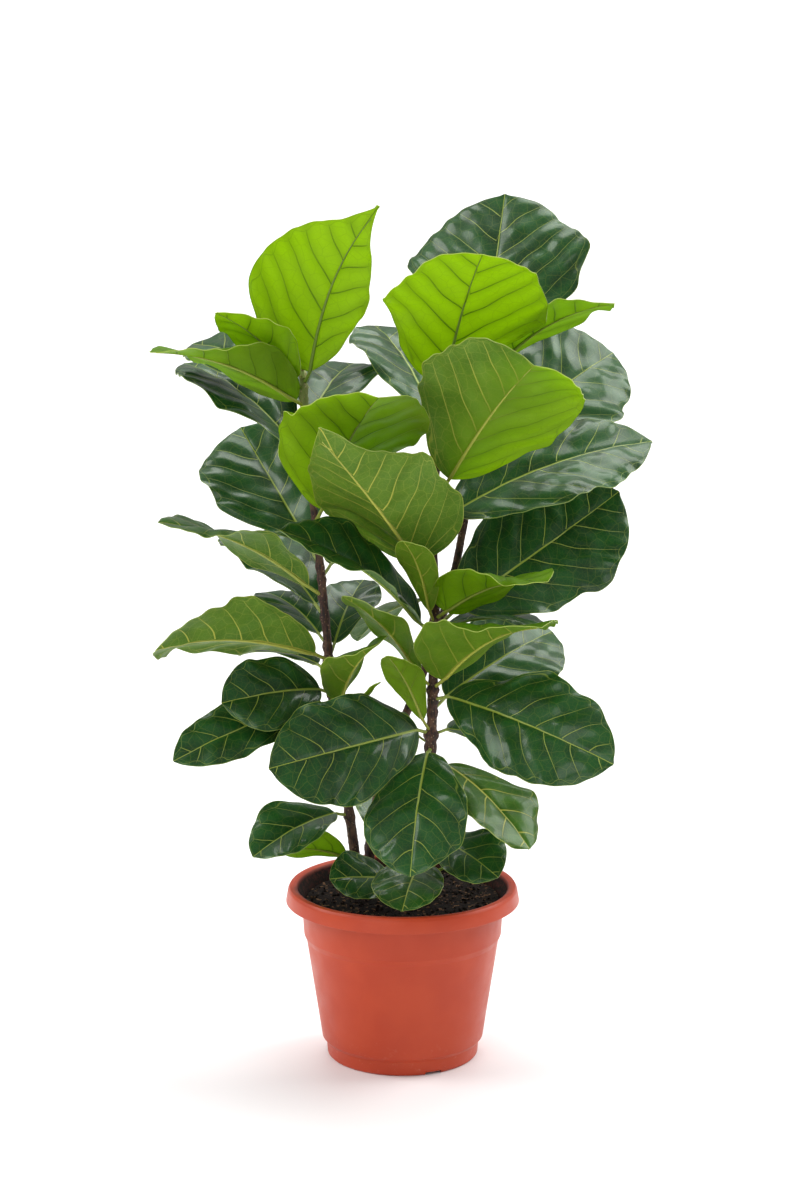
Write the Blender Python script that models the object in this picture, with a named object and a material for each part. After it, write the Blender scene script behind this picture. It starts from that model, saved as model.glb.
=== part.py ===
"""Potted fiddle leaf fig: a plastic nursery pot, its soil, three woody stems and their leaves.

Metres, +Z up. The origin is the centre of the pot's underside, on the surface that the pot stands
on. The front of the plant looks along -Y.

A leaf is described the way it grows: the stem and the height that it grows from, the heading and
the rise of its midrib, and how the blade is rolled, arched, folded and twisted about that midrib.
"""

import math
from collections import namedtuple

import bmesh
import bpy
from mathutils import Matrix, Vector

# ---------------------------------------------------------------- driving dimensions
POT_HEIGHT = 0.200
POT_SEGMENTS = 40
WALL = 0.0025
FLOOR_LIFT = 0.004
FLOOR_THICKNESS = 0.003
HUB_RADIUS = 0.015
SKIRT_RADIUS = 0.0865
SKIRT_WIDTH = 0.0055
SKIRT_CHAMFER = 0.003
SKIRT_TOP_RADIUS, SKIRT_TOP = 0.0878, 0.0170
BODY_FOOT_RADIUS, BODY_FOOT = 0.0925, 0.0220
BODY_TOP_RADIUS, BODY_TOP = 0.1100, 0.1370
SHOULDER_RADIUS, SHOULDER = 0.1130, 0.1440
NECK_RADIUS = 0.1155
RIM_RADIUS = 0.1335
RIM_DEPTH = 0.018
SOIL_LEVEL = 0.184
SOIL_CLEARANCE = 0.0006
GAP = 0.0003
DRAIN_HOLES = 6
DRAIN_RADIUS = 0.006
DRAIN_CIRCLE = 0.055
NOTCHES = 3
NOTCH_WIDTH = 0.020
NOTCH_HEIGHT = 0.0035
NOTCH_HEADING = -66.0

PETIOLE_WIDTH = 0.0042
PETIOLE_CLEARANCE = 0.0040
BLADE_THICKNESS = 0.0011
BLADE_STATIONS = (0.0, 0.05, 0.17, 0.36, 0.56, 0.75, 0.90, 0.975, 1.0)
BLADE_COLUMNS = 2

# ---------------------------------------------------------------- materials
Finish = namedtuple("Finish", "colour roughness")
FINISHES = {
    "pot_plastic": Finish((0.62, 0.13, 0.06), 0.45),
    "soil": Finish((0.035, 0.022, 0.015), 0.95),
    "bark": Finish((0.10, 0.045, 0.028), 0.80),
    "bud_scale": Finish((0.38, 0.42, 0.16), 0.55),
    "old_leaf": Finish((0.025, 0.10, 0.035), 0.30),
    "young_leaf": Finish((0.22, 0.45, 0.03), 0.40),
}


def finish(name):
    """The Principled material of that name, made once."""
    material = bpy.data.materials.get(name)
    if material is None:
        material = bpy.data.materials.new(name)
        material.use_nodes = True
        shader = material.node_tree.nodes["Principled BSDF"]
        shader.inputs["Base Color"].default_value = (*FINISHES[name].colour, 1.0)
        shader.inputs["Roughness"].default_value = FINISHES[name].roughness
    return material


def add_object(name, data, material, parent=None):
    obj = bpy.data.objects.new(name, data)
    bpy.context.scene.collection.objects.link(obj)
    data.materials.append(finish(material))
    obj.parent = parent
    return obj


def mesh_from(bm, name):
    """A mesh made from bm, shaded smooth apart from its sharp corners."""
    mesh = bpy.data.meshes.new(name)
    bm.to_mesh(mesh)
    bm.free()
    mesh.shade_smooth()
    mesh.set_sharp_from_angle(angle=math.radians(40))
    return mesh


def turned(profile, segments):
    """A closed bmesh turned about Z from (radius, height) points that start and end on the axis."""
    bm = bmesh.new()
    verts = [bm.verts.new((r, 0.0, z)) for r, z in profile]
    edges = [bm.edges.new(pair) for pair in zip(verts, verts[1:])]
    bmesh.ops.spin(bm, geom=verts + edges, cent=(0, 0, 0), axis=(0, 0, 1),
                   angle=2 * math.pi, steps=segments, use_merge=True)
    bmesh.ops.remove_doubles(bm, verts=bm.verts, dist=1e-6)
    bmesh.ops.recalc_face_normals(bm, faces=bm.faces)
    return bm


def cutter(name, bm):
    """A helper solid that a Boolean subtracts. It isn't part of the object."""
    mesh = bpy.data.meshes.new(name)
    bm.to_mesh(mesh)
    bm.free()
    obj = bpy.data.objects.new(name, mesh)
    bpy.context.scene.collection.objects.link(obj)
    obj.hide_render = True
    obj.display_type = "WIRE"
    return obj


def subtract(obj, tool):
    modifier = obj.modifiers.new(tool.name, "BOOLEAN")
    modifier.operation = "DIFFERENCE"
    modifier.solver = "EXACT"
    modifier.object = tool


# ---------------------------------------------------------------- pot and soil
def pot_profile():
    """The moulding's section, from the underside's centre round the rim to the floor's centre."""
    floor = FLOOR_LIFT + FLOOR_THICKNESS
    rim_foot = POT_HEIGHT - RIM_DEPTH
    skirt_inside = SKIRT_RADIUS - SKIRT_WIDTH
    outer = [
        (0.0, 0.0), (HUB_RADIUS, 0.0), (HUB_RADIUS, FLOOR_LIFT), (skirt_inside, FLOOR_LIFT),
        (skirt_inside, 0.0), (SKIRT_RADIUS - SKIRT_CHAMFER, 0.0), (SKIRT_RADIUS, SKIRT_CHAMFER),
        (SKIRT_TOP_RADIUS, SKIRT_TOP), (BODY_FOOT_RADIUS, BODY_FOOT), (BODY_TOP_RADIUS, BODY_TOP),
        (SHOULDER_RADIUS, SHOULDER), (NECK_RADIUS, rim_foot + 0.002),
    ]
    rim = [
        (0.1175, POT_HEIGHT - 0.010), (0.1225, POT_HEIGHT - 0.004), (0.1265, POT_HEIGHT - 0.004),
        (RIM_RADIUS - WALL, rim_foot), (RIM_RADIUS, rim_foot), (RIM_RADIUS - 0.003, POT_HEIGHT - 0.003),
        (RIM_RADIUS - 0.005, POT_HEIGHT - 0.0005), (0.1245, POT_HEIGHT), (0.1210, POT_HEIGHT - 0.0015),
    ]
    inner = [
        (0.1145, POT_HEIGHT - 0.013), (NECK_RADIUS - WALL, rim_foot),
        (SHOULDER_RADIUS - WALL, SHOULDER + 0.0005), (BODY_TOP_RADIUS - WALL, BODY_TOP),
        (BODY_FOOT_RADIUS - WALL, BODY_FOOT + 0.0005), (SKIRT_TOP_RADIUS - WALL, SKIRT_TOP + 0.0005),
        (SKIRT_RADIUS - WALL, floor), (0.0, floor),
    ]
    return outer + rim + inner


def pot_radius_inside(height):
    """The inner wall's radius at a height on the straight taper of the body."""
    share = (height - BODY_FOOT) / (BODY_TOP - BODY_FOOT)
    return BODY_FOOT_RADIUS - WALL + share * (BODY_TOP_RADIUS - BODY_FOOT_RADIUS)


def drain_cutter():
    bm = bmesh.new()
    for i in range(DRAIN_HOLES):
        angle = 2 * math.pi * i / DRAIN_HOLES
        place = Matrix.Translation((DRAIN_CIRCLE * math.cos(angle), DRAIN_CIRCLE * math.sin(angle), 0.005))
        bmesh.ops.create_cone(bm, cap_ends=True, segments=10, radius1=DRAIN_RADIUS,
                              radius2=DRAIN_RADIUS, depth=0.02, matrix=place)
    return cutter("drain_cutter", bm)


def notch_cutter():
    """Boxes that open the foot skirt, so that drained water can leave."""
    bm = bmesh.new()
    for i in range(NOTCHES):
        angle = math.radians(NOTCH_HEADING) + 2 * math.pi * i / NOTCHES
        place = Matrix.Rotation(angle, 4, "Z") @ Matrix.Translation((SKIRT_RADIUS - 0.003, 0, 0))
        box = bmesh.ops.create_cube(bm, size=1.0)["verts"]
        bmesh.ops.scale(bm, verts=box, vec=(0.014, NOTCH_WIDTH, 2 * NOTCH_HEIGHT))
        bmesh.ops.transform(bm, verts=box, matrix=place)
    return cutter("notch_cutter", bm)


def build_pot():
    pot = add_object("pot", mesh_from(turned(pot_profile(), POT_SEGMENTS), "pot"), "pot_plastic")
    subtract(pot, drain_cutter())
    subtract(pot, notch_cutter())
    return pot


def build_soil():
    """Potting mix, clear of the wall, with a slightly heaped and uneven top."""
    low = FLOOR_LIFT + FLOOR_THICKNESS + GAP
    clear = WALL + SOIL_CLEARANCE
    shoulder = BODY_FOOT + 0.0015
    profile = [
        (0.0, low), (SKIRT_RADIUS - clear, low), (SKIRT_TOP_RADIUS - clear, SKIRT_TOP),
        (pot_radius_inside(shoulder) - SOIL_CLEARANCE, shoulder), (BODY_TOP_RADIUS - clear, BODY_TOP),
        (SHOULDER_RADIUS - clear, SHOULDER + 0.0030), (SHOULDER_RADIUS - clear, SOIL_LEVEL),
        (0.085, SOIL_LEVEL + 0.0005), (0.045, SOIL_LEVEL + 0.0015), (0.0, SOIL_LEVEL + 0.002),
    ]
    bm = turned(profile, POT_SEGMENTS)
    for vert in bm.verts:
        radius = vert.co.xy.length
        if radius < 0.1 and vert.co.z > SOIL_LEVEL:
            vert.co.z += 0.001 * math.sin(70 * vert.co.x + 1) * math.cos(90 * vert.co.y + 60 * radius)
    soil = add_object("soil", mesh_from(bm, "soil"), "soil")
    for stem in STEMS.values():
        subtract(soil, socket_cutter(stem))
    return soil


# ---------------------------------------------------------------- stems
Stem = namedtuple("Stem", "name points foot_radius top_radius")
STEM_DEPTH = 0.045
STEM_RINGS = 15
BUD_LENGTH = 0.022
BUD_TIP_RADIUS = 0.0008

STEMS = {
    "left": Stem("left", [
        (-0.048, 0.010, 0.18), (-0.058, 0.008, 0.26), (-0.070, 0.004, 0.35), (-0.080, 0.000, 0.43),
        (-0.086, -0.002, 0.50), (-0.094, -0.006, 0.59), (-0.104, -0.010, 0.69),
        (-0.110, -0.012, 0.785)], 0.0065, 0.0038),
    "right": Stem("right", [
        (0.022, -0.004, 0.18), (0.027, -0.006, 0.26), (0.031, -0.006, 0.34), (0.034, -0.008, 0.43),
        (0.036, -0.010, 0.53), (0.034, -0.010, 0.60), (0.037, -0.012, 0.68),
        (0.041, -0.014, 0.765)], 0.0070, 0.0040),
    "back": Stem("back", [
        (-0.040, 0.038, 0.18), (-0.036, 0.038, 0.25), (-0.022, 0.040, 0.32), (0.004, 0.044, 0.39),
        (0.032, 0.048, 0.46), (0.058, 0.052, 0.55), (0.076, 0.054, 0.65), (0.084, 0.056, 0.73),
        (0.088, 0.058, 0.80)], 0.0065, 0.0038),
}


def smooth_point(points, share):
    """The point at a share of the way along a Catmull-Rom curve through points."""
    along = share * (len(points) - 1)
    i = min(int(along), len(points) - 2)
    t = along - i
    a, b, c, d = (Vector(points[max(0, min(len(points) - 1, i + k))]) for k in (-1, 0, 1, 2))
    return 0.5 * ((2 * b) + (c - a) * t + (2 * a - 5 * b + 4 * c - d) * t * t
                  + (3 * b - a - 3 * c + d) * t ** 3)


def stem_at(stem, height):
    """The stem's axis point and radius at a height."""
    low, high = 0.0, 1.0
    for _ in range(30):
        middle = (low + high) / 2
        if smooth_point(stem.points, middle).z < height:
            low = middle
        else:
            high = middle
    radius = stem.foot_radius + (stem.top_radius - stem.foot_radius) * low
    return smooth_point(stem.points, low), radius


def socket_cutter(stem):
    """The hole in the soil that the stem's foot stands in."""
    foot = Vector(stem.points[0])
    bm = bmesh.new()
    place = Matrix.Translation((foot.x, foot.y, SOIL_LEVEL - STEM_DEPTH + 0.05))
    bmesh.ops.create_cone(bm, cap_ends=True, segments=8, radius1=stem.foot_radius + 0.0008,
                          radius2=stem.foot_radius + 0.0008, depth=0.10 + 2 * GAP, matrix=place)
    return cutter(f"socket_{stem.name}", bm)


def build_stem(stem):
    """A tapering tube along the stem's curve, its foot sunk in the soil."""
    curve = bpy.data.curves.new(f"stem_{stem.name}", "CURVE")
    curve.dimensions = "3D"
    curve.bevel_depth = 1.0
    curve.bevel_resolution = 2
    curve.use_fill_caps = True
    foot = Vector(stem.points[0])
    path = [(Vector((foot.x, foot.y, SOIL_LEVEL - STEM_DEPTH + GAP)), stem.foot_radius)]
    for i in range(STEM_RINGS):
        share = i / (STEM_RINGS - 1)
        radius = stem.foot_radius + (stem.top_radius - stem.foot_radius) * share
        path.append((smooth_point(stem.points, share) + Vector((0, 0, 0.012 * (i == 0))), radius))
    spline = curve.splines.new("POLY")
    spline.points.add(len(path) - 1)
    for point, (place, radius) in zip(spline.points, path):
        point.co = (*place, 1.0)
        point.radius = radius
    return add_object(f"stem_{stem.name}", curve, "bark")


def build_bud(stem):
    """The pointed sheath round the growing tip, which carries on along the stem."""
    tip = smooth_point(stem.points, 1.0)
    along = (tip - smooth_point(stem.points, 0.98)).normalized()
    bm = bmesh.new()
    bmesh.ops.create_cone(bm, cap_ends=True, segments=8, radius1=stem.top_radius,
                          radius2=BUD_TIP_RADIUS, depth=BUD_LENGTH)
    place = Matrix.Translation(tip + along * (BUD_LENGTH / 2 + GAP))
    bmesh.ops.transform(bm, verts=bm.verts, matrix=place @ along.to_track_quat("Z", "Y").to_matrix().to_4x4())
    return add_object(f"bud_{stem.name}", mesh_from(bm, "bud"), "bud_scale")


# ---------------------------------------------------------------- leaves
# heading: degrees in plan, 0 to the right, -90 to the front, 180 to the left, 90 to the back.
# rise: the chord from blade base to tip above the horizontal, in degrees.
# roll: turns the blade about its midrib; positive lifts its left margin, seen along the heading.
# arch and sway: how far the midrib bows up and to its left, as a share of the blade's length.
# fold: how far each half of the blade is raised from flat, in degrees. twist: the roll that the
# tip has over the base, in degrees. lean: how much wider the left half is than the mean half, as a
# share of it; the right half is as much narrower.
# widest: the share of the length at which the blade is widest. point: 0.56 for a round tip, more
# for a pointed one.
Leaf = namedtuple("Leaf", "stem height heading rise length width petiole roll arch fold twist sway "
                          "lean widest point tone")


def leaf(stem, height, heading, rise, length, width, petiole=0.02, roll=0, arch=0.08, fold=12,
         twist=0, sway=0.0, lean=0.0, widest=0.6, point=0.56, tone="old_leaf"):
    return Leaf(stem, height, heading, rise, length, width, petiole, roll, arch, fold, twist, sway,
                lean, widest, point, tone)


LEAVES = [
    leaf("left", 0.225, -152, 12, 0.085, 0.065, 0.006, roll=52, fold=15, tone="young_leaf"),
    leaf("left", 0.280, -140, -14, 0.120, 0.080, 0.012, roll=-20, fold=20),
    leaf("left", 0.375, -40, 50, 0.045, 0.014, 0.040, tone="young_leaf"),
    leaf("left", 0.405, -57, 45, 0.115, 0.095, 0.008, roll=15, fold=25, tone="young_leaf"),
    leaf("left", 0.410, -150, -13, 0.190, 0.072, 0.006, roll=-40),
    leaf("left", 0.424, -148, 0, 0.125, 0.095, 0.008, roll=-50),
    leaf("left", 0.448, 139, -3, 0.120, 0.080, 0.012),
    leaf("left", 0.464, 72, 28, 0.115, 0.070, 0.015),
    leaf("left", 0.463, -148, 8, 0.200, 0.125, 0.012, roll=40, fold=25, tone="young_leaf"),
    leaf("left", 0.480, 126, 16, 0.110, 0.075, 0.012),
    leaf("left", 0.514, 130, 21, 0.165, 0.110, 0.012),
    leaf("left", 0.537, -156, 26, 0.195, 0.110, 0.012, roll=15, twist=-60, point=0.7),
    leaf("left", 0.558, 58, 20, 0.135, 0.085, 0.015),
    leaf("left", 0.572, 124, 38, 0.175, 0.155, 0.032, roll=-30, arch=0.0, fold=20),
    leaf("left", 0.622, -61, 47, 0.190, 0.170, 0.015, roll=-12, fold=15, tone="young_leaf"),
    leaf("left", 0.690, 139, 25, 0.185, 0.125, 0.020),
    leaf("left", 0.728, 70, 18, 0.130, 0.115, 0.020),
    leaf("left", 0.752, -147, 20, 0.190, 0.100, 0.006, roll=25, fold=20, twist=-30, widest=0.5,
         point=0.8, tone="young_leaf"),
    leaf("left", 0.762, 141, 14, 0.150, 0.110, 0.015),
    leaf("left", 0.770, -134, 36, 0.140, 0.080, 0.012, roll=15, widest=0.5, point=0.8,
         tone="young_leaf"),
    leaf("left", 0.776, -50, 58, 0.215, 0.134, 0.012, roll=-50, fold=2, sway=-0.07, lean=-0.42,
         widest=0.46, point=0.9, tone="young_leaf"),

    leaf("right", 0.192, -150, 9, 0.080, 0.066, 0.035, roll=-45),
    leaf("right", 0.210, -40, 16, 0.055, 0.016, 0.010, tone="young_leaf"),
    leaf("right", 0.224, -102, -15, 0.095, 0.084, 0.020),
    leaf("right", 0.252, -50, -12, 0.100, 0.080, 0.015, roll=25),
    leaf("right", 0.285, 30, -22, 0.115, 0.085, 0.030, roll=45),
    leaf("right", 0.344, -44, -30, 0.145, 0.085, 0.015, roll=8),
    leaf("right", 0.362, -99, -40, 0.165, 0.115, 0.015, roll=3, fold=5),
    leaf("right", 0.366, 152, 14, 0.060, 0.055, 0.015),
    leaf("right", 0.378, 32, -26, 0.140, 0.090, 0.012, roll=20),
    leaf("right", 0.379, -144, -4, 0.200, 0.122, 0.010, roll=-68, fold=5),
    leaf("right", 0.380, -128, 53, 0.105, 0.045, 0.015, roll=20, tone="young_leaf"),
    leaf("right", 0.419, -35, -12, 0.220, 0.122, 0.012, roll=52, fold=5),
    leaf("right", 0.406, 42, 17, 0.175, 0.120, 0.015, roll=40),
    leaf("right", 0.432, -160, 47, 0.130, 0.065, 0.015, roll=20, tone="young_leaf"),
    leaf("right", 0.432, -51, 28, 0.185, 0.170, 0.012, roll=-6, fold=20, widest=0.5, point=0.8,
         tone="young_leaf"),
    leaf("right", 0.500, 8, -3, 0.115, 0.080, 0.008),
    leaf("right", 0.494, -154, 35, 0.205, 0.095, 0.014, roll=-30, fold=30),
    leaf("right", 0.507, -110, 48, 0.125, 0.045, 0.015, tone="young_leaf"),
    leaf("right", 0.500, 27, 29, 0.235, 0.155, 0.030, roll=54, arch=-0.03, fold=5),
    leaf("right", 0.512, -45, 20, 0.160, 0.110, 0.012, roll=-15, fold=20, twist=50, widest=0.5,
         tone="young_leaf"),
    leaf("right", 0.528, 132, -31, 0.125, 0.060, 0.015),
    leaf("right", 0.552, -128, 43, 0.232, 0.180, 0.034, roll=20, arch=0.02, fold=27,
         widest=0.40, point=0.75, tone="young_leaf"),
    leaf("right", 0.618, 15, 17, 0.240, 0.150, 0.020, roll=30, widest=0.52, point=0.72),
    leaf("right", 0.648, -55, 43, 0.205, 0.190, 0.030, roll=-34, fold=20, tone="young_leaf"),
    leaf("right", 0.728, 114, 28, 0.175, 0.115, 0.015),
    leaf("right", 0.760, -70, 54, 0.190, 0.172, 0.012, roll=-12, fold=5, tone="young_leaf"),

    leaf("back", 0.235, 80, 16, 0.110, 0.070, 0.015),
    leaf("back", 0.676, 40, 26, 0.215, 0.145, 0.020, roll=45),
    leaf("back", 0.773, -44, 26, 0.190, 0.095, 0.020, roll=-10, point=0.8, tone="young_leaf"),
    leaf("back", 0.777, 78, 52, 0.222, 0.205, 0.015, arch=0.0, roll=-6, fold=3),
]


def direction(heading, rise):
    heading, rise = math.radians(heading), math.radians(rise)
    return Vector((math.cos(rise) * math.cos(heading), math.cos(rise) * math.sin(heading), math.sin(rise)))


class LeafShape:
    """The middle surface of one leaf, blade and petiole."""

    def __init__(self, leaf, number):
        self.leaf = leaf
        self.number = number
        self.chord = direction(leaf.heading, leaf.rise)
        level = math.radians(leaf.heading + 90)
        self.left = Vector((math.cos(level), math.sin(level), 0.0))
        self.up = self.chord.cross(self.left)
        self.foot, radius = stem_at(STEMS[leaf.stem], leaf.height)
        outward = direction(leaf.heading, (leaf.rise + 45) / 2)
        self.start = self.foot + outward * (radius + PETIOLE_CLEARANCE)
        self.base = self.foot + outward * (radius + PETIOLE_CLEARANCE + leaf.petiole)

    def axes(self, share):
        """The blade's left and upward directions at a share of the midrib."""
        roll = math.radians(self.leaf.roll + self.leaf.twist * (share - 0.5))
        left = self.left * math.cos(roll) + self.up * math.sin(roll)
        up = self.up * math.cos(roll) - self.left * math.sin(roll)
        return left, up

    def midrib(self, share):
        left, up = self.axes(0.5)
        bow = 4 * share * (1 - share) * self.leaf.length
        return (self.base + self.chord * (self.leaf.length * share)
                + up * (bow * self.leaf.arch) + left * (bow * self.leaf.sway))

    def frame(self, share):
        """Midrib point, left direction and upward direction, square to the midrib."""
        step = 0.01
        along = (self.midrib(share + step) - self.midrib(share - step)).normalized()
        left, _ = self.axes(share)
        left = (left - along * left.dot(along)).normalized()
        return self.midrib(share), left, along.cross(left)

    def half_width(self, share):
        """Half the blade's width, which swells from the petiole and closes again at the tip."""
        if not 0.0 < share < 1.0:
            return PETIOLE_WIDTH / 2
        shift = math.log(0.5) / math.log(self.leaf.widest)
        full = math.sin(math.pi * share ** shift) ** self.leaf.point
        return max(PETIOLE_WIDTH / 2, 0.5 * self.leaf.width * full)

    def wave(self, share, side):
        """The margin's slow undulation, as a share of the half width."""
        phase = 2.4 * self.number + (1.9 if side > 0 else 0.0)
        return 0.09 * math.sin(2 * math.pi * 1.7 * share + phase) * min(1.0, 3 * share)

    def point(self, share, side):
        """A point of the blade; side runs from -1 at the right margin to 1 at the left one."""
        centre, left, up = self.frame(share)
        reach = side * self.half_width(share) * (1 + self.leaf.lean * side)
        fold = math.radians(self.leaf.fold * (1.15 - 0.5 * share))
        lift = abs(reach) * math.sin(fold) - 0.10 * side * side * abs(reach)
        lift += self.wave(share, side) * side * side * abs(reach)
        return centre + left * (reach * math.cos(fold)) + up * lift


def build_leaf(name, shape):
    """A closed sheet: petiole and blade in one, thick at the petiole and thin at the margin."""
    stations = [-1.0, -0.5] + list(BLADE_STATIONS)
    rows = len(stations)
    bm = bmesh.new()
    bmesh.ops.create_grid(bm, x_segments=rows - 1, y_segments=BLADE_COLUMNS, size=1.0)
    drop = bm.verts.layers.float_vector.new("drop")
    for vert in bm.verts:
        row = round((vert.co.x + 1) / 2 * (rows - 1))
        side = vert.co.y
        share = stations[row]
        if share < 0:
            centre = shape.base.lerp(shape.start, -share)
            _, left, up = shape.frame(0.0)
            vert.co = centre + left * (side * PETIOLE_WIDTH / 2)
        else:
            vert.co = shape.point(share, side)
            _, _, up = shape.frame(share)
        thick = PETIOLE_WIDTH * 0.85 if share <= 0 else BLADE_THICKNESS
        vert[drop] = up * (-thick)
    under = bmesh.ops.extrude_face_region(bm, geom=list(bm.faces))
    for item in under["geom"]:
        if isinstance(item, bmesh.types.BMVert):
            item.co += item[drop]
    bmesh.ops.recalc_face_normals(bm, faces=bm.faces)
    return add_object(name, mesh_from(bm, name), shape.leaf.tone)


def clear_scene():
    for obj in list(bpy.data.objects):
        bpy.data.objects.remove(obj, do_unlink=True)


def main():
    clear_scene()
    build_pot()
    build_soil()
    for stem in STEMS.values():
        build_stem(stem)
        build_bud(stem)
    for stem in STEMS:
        for i, row in enumerate(row for row in LEAVES if row.stem == stem):
            build_leaf(f"leaf_{stem}_{i + 1:02d}", LeafShape(row, i))


main()
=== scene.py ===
# %% [markdown]
# # Potted fiddle leaf fig
# Three woody stems stand in a plastic nursery pot and carry broad, leathery leaves. The script loads
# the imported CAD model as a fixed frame, and then models each piece again in fine detail, in the
# place that the frame gives. Lengths are in metres unless a name says millimetres.

# %% Load the frame
import math
import random
from collections import namedtuple
from functools import partial

import bmesh
import bpy
from mathutils import Matrix, Vector, noise


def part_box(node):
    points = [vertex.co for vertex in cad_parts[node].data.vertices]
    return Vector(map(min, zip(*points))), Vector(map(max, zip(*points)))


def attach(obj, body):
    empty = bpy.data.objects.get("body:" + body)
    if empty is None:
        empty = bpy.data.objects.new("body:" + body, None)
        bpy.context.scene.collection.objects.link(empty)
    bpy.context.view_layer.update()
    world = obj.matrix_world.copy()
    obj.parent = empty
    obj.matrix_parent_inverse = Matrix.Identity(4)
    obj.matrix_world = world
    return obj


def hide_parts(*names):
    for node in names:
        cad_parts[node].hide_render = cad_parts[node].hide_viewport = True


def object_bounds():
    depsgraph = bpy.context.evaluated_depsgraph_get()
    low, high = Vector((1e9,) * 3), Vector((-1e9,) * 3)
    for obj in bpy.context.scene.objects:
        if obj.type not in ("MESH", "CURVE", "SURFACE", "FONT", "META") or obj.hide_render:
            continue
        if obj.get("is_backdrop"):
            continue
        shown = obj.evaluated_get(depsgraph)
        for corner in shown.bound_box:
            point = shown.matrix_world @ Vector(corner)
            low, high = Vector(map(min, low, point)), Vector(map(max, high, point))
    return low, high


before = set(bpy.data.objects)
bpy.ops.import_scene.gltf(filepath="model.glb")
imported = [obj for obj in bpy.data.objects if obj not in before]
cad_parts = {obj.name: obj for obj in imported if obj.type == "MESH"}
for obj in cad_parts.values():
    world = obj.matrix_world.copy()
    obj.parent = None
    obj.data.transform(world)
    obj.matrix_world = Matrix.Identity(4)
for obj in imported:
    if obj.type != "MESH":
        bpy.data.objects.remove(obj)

scene = bpy.context.scene
cad_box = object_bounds()
print(f"{len(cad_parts)} CAD nodes, {1000 * (cad_box[1].z - cad_box[0].z):.0f} mm tall")

# %% [markdown]
# Colours are easiest to choose as the hex codes that a paint program shows. Those are sRGB, and a
# shader adds up light, so one function turns them to linear values first.

# %% Colours
def colour(code):
    """The linear RGBA of an sRGB hex code."""
    channels = [int(code[i:i + 2], 16) / 255 for i in (1, 3, 5)]
    linear = [c / 12.92 if c <= 0.04045 else ((c + 0.055) / 1.055) ** 2.4 for c in channels]
    return (*linear, 1.0)


print("mid grey is", [round(c, 3) for c in colour("#808080")])

# %% [markdown]
# A material is a graph of nodes. It could be loaded from a saved file, but then nobody could read
# it here. So one helper adds a node, sets its options, and gives each input a value or links it to
# another node's output, and a material reads as a short list of steps. Inputs come in the order in
# which the editor shows a node's sockets, from the top. A pattern on coordinates in metres has
# 1000 / size repeats in a metre for a size in millimetres.

# %% Node helper
USUAL = {"MapRange": {"interpolation_type": "SMOOTHSTEP"}, "Mix": {"data_type": "RGBA"}}


def set_stops(elements, codes):
    """Spreads hex colours evenly along a colour ramp."""
    elements[0].color = colour(codes[0])
    elements[1].color = colour(codes[-1])
    for i, code in enumerate(codes[1:-1]):
        elements.new((i + 1) / (len(codes) - 1)).color = colour(code)


def add(tree, kind, *inputs, out=0, **settings):
    """Adds a node and returns its output out, or the node itself where out is None.

    inputs are values or other nodes' outputs, or one dict of them by the sockets' names. kind may
    end in an operation, as in Math.ADD, and the setting stops gives a colour ramp its hex codes.
    """
    kind, _, operation = kind.partition(".")
    made = tree.nodes.new("ShaderNode" + kind)
    settings = USUAL.get(kind, {}) | ({"operation": operation} if operation else {}) | settings
    for name, value in settings.items():
        if name == "stops":
            set_stops(made.color_ramp.elements, value)
        else:
            setattr(made, name, value)
    pairs = zip([socket for socket in made.inputs if socket.enabled], inputs)
    if inputs and isinstance(inputs[0], dict):
        pairs = [(made.inputs[name], value) for name, value in inputs[0].items()]
    for socket, value in pairs:
        if isinstance(value, bpy.types.NodeSocket):
            tree.links.new(value, socket)
        else:
            socket.default_value = value
    if out is None or not made.outputs:
        return made
    return made.outputs[out] if out else next(socket for socket in made.outputs if socket.enabled)


def new_material(name):
    """An empty node material, and the node helper for its tree."""
    material = bpy.data.materials.new(name)
    material.use_nodes = True
    material.node_tree.nodes.clear()
    return material, partial(add, material.node_tree)


print("a 30 mm pattern repeats", round(1000 / 30), "times in a metre")

# %% [markdown]
# ## Stems and leaves as rows of numbers
# A plant repeats one idea many times: a blade on a stalk, set on a stem at some height and turned
# to some heading. Modelling fifty leaves by hand would be slow, and scattering copies would look
# like copies. So each leaf is a row that says how it grows, and one formula bends a flat grid into
# it. The rows are those of the CAD model, with a few turned or trimmed a little for looks, so that
# each leaf lies where its solid is.

# %% Stems
Stem = namedtuple("Stem", "name points foot_radius top_radius")
PETIOLE_WIDTH = 0.0042
PETIOLE_CLEARANCE = 0.0040
SOIL_LEVEL = 0.184
STEMS = {
    "left": Stem("left", [
        (-0.048, 0.010, 0.18), (-0.058, 0.008, 0.26), (-0.070, 0.004, 0.35), (-0.080, 0.000, 0.43),
        (-0.086, -0.002, 0.50), (-0.094, -0.006, 0.59), (-0.104, -0.010, 0.69),
        (-0.110, -0.012, 0.785)], 0.0065, 0.0038),
    "right": Stem("right", [
        (0.022, -0.004, 0.18), (0.027, -0.006, 0.26), (0.031, -0.006, 0.34), (0.034, -0.008, 0.43),
        (0.036, -0.010, 0.53), (0.034, -0.010, 0.60), (0.037, -0.012, 0.68),
        (0.041, -0.014, 0.765)], 0.0070, 0.0040),
    "back": Stem("back", [
        (-0.040, 0.038, 0.18), (-0.036, 0.038, 0.25), (-0.022, 0.040, 0.32), (0.004, 0.044, 0.39),
        (0.032, 0.048, 0.46), (0.058, 0.052, 0.55), (0.076, 0.054, 0.65), (0.084, 0.056, 0.73),
        (0.088, 0.058, 0.80)], 0.0065, 0.0038),
}


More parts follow.
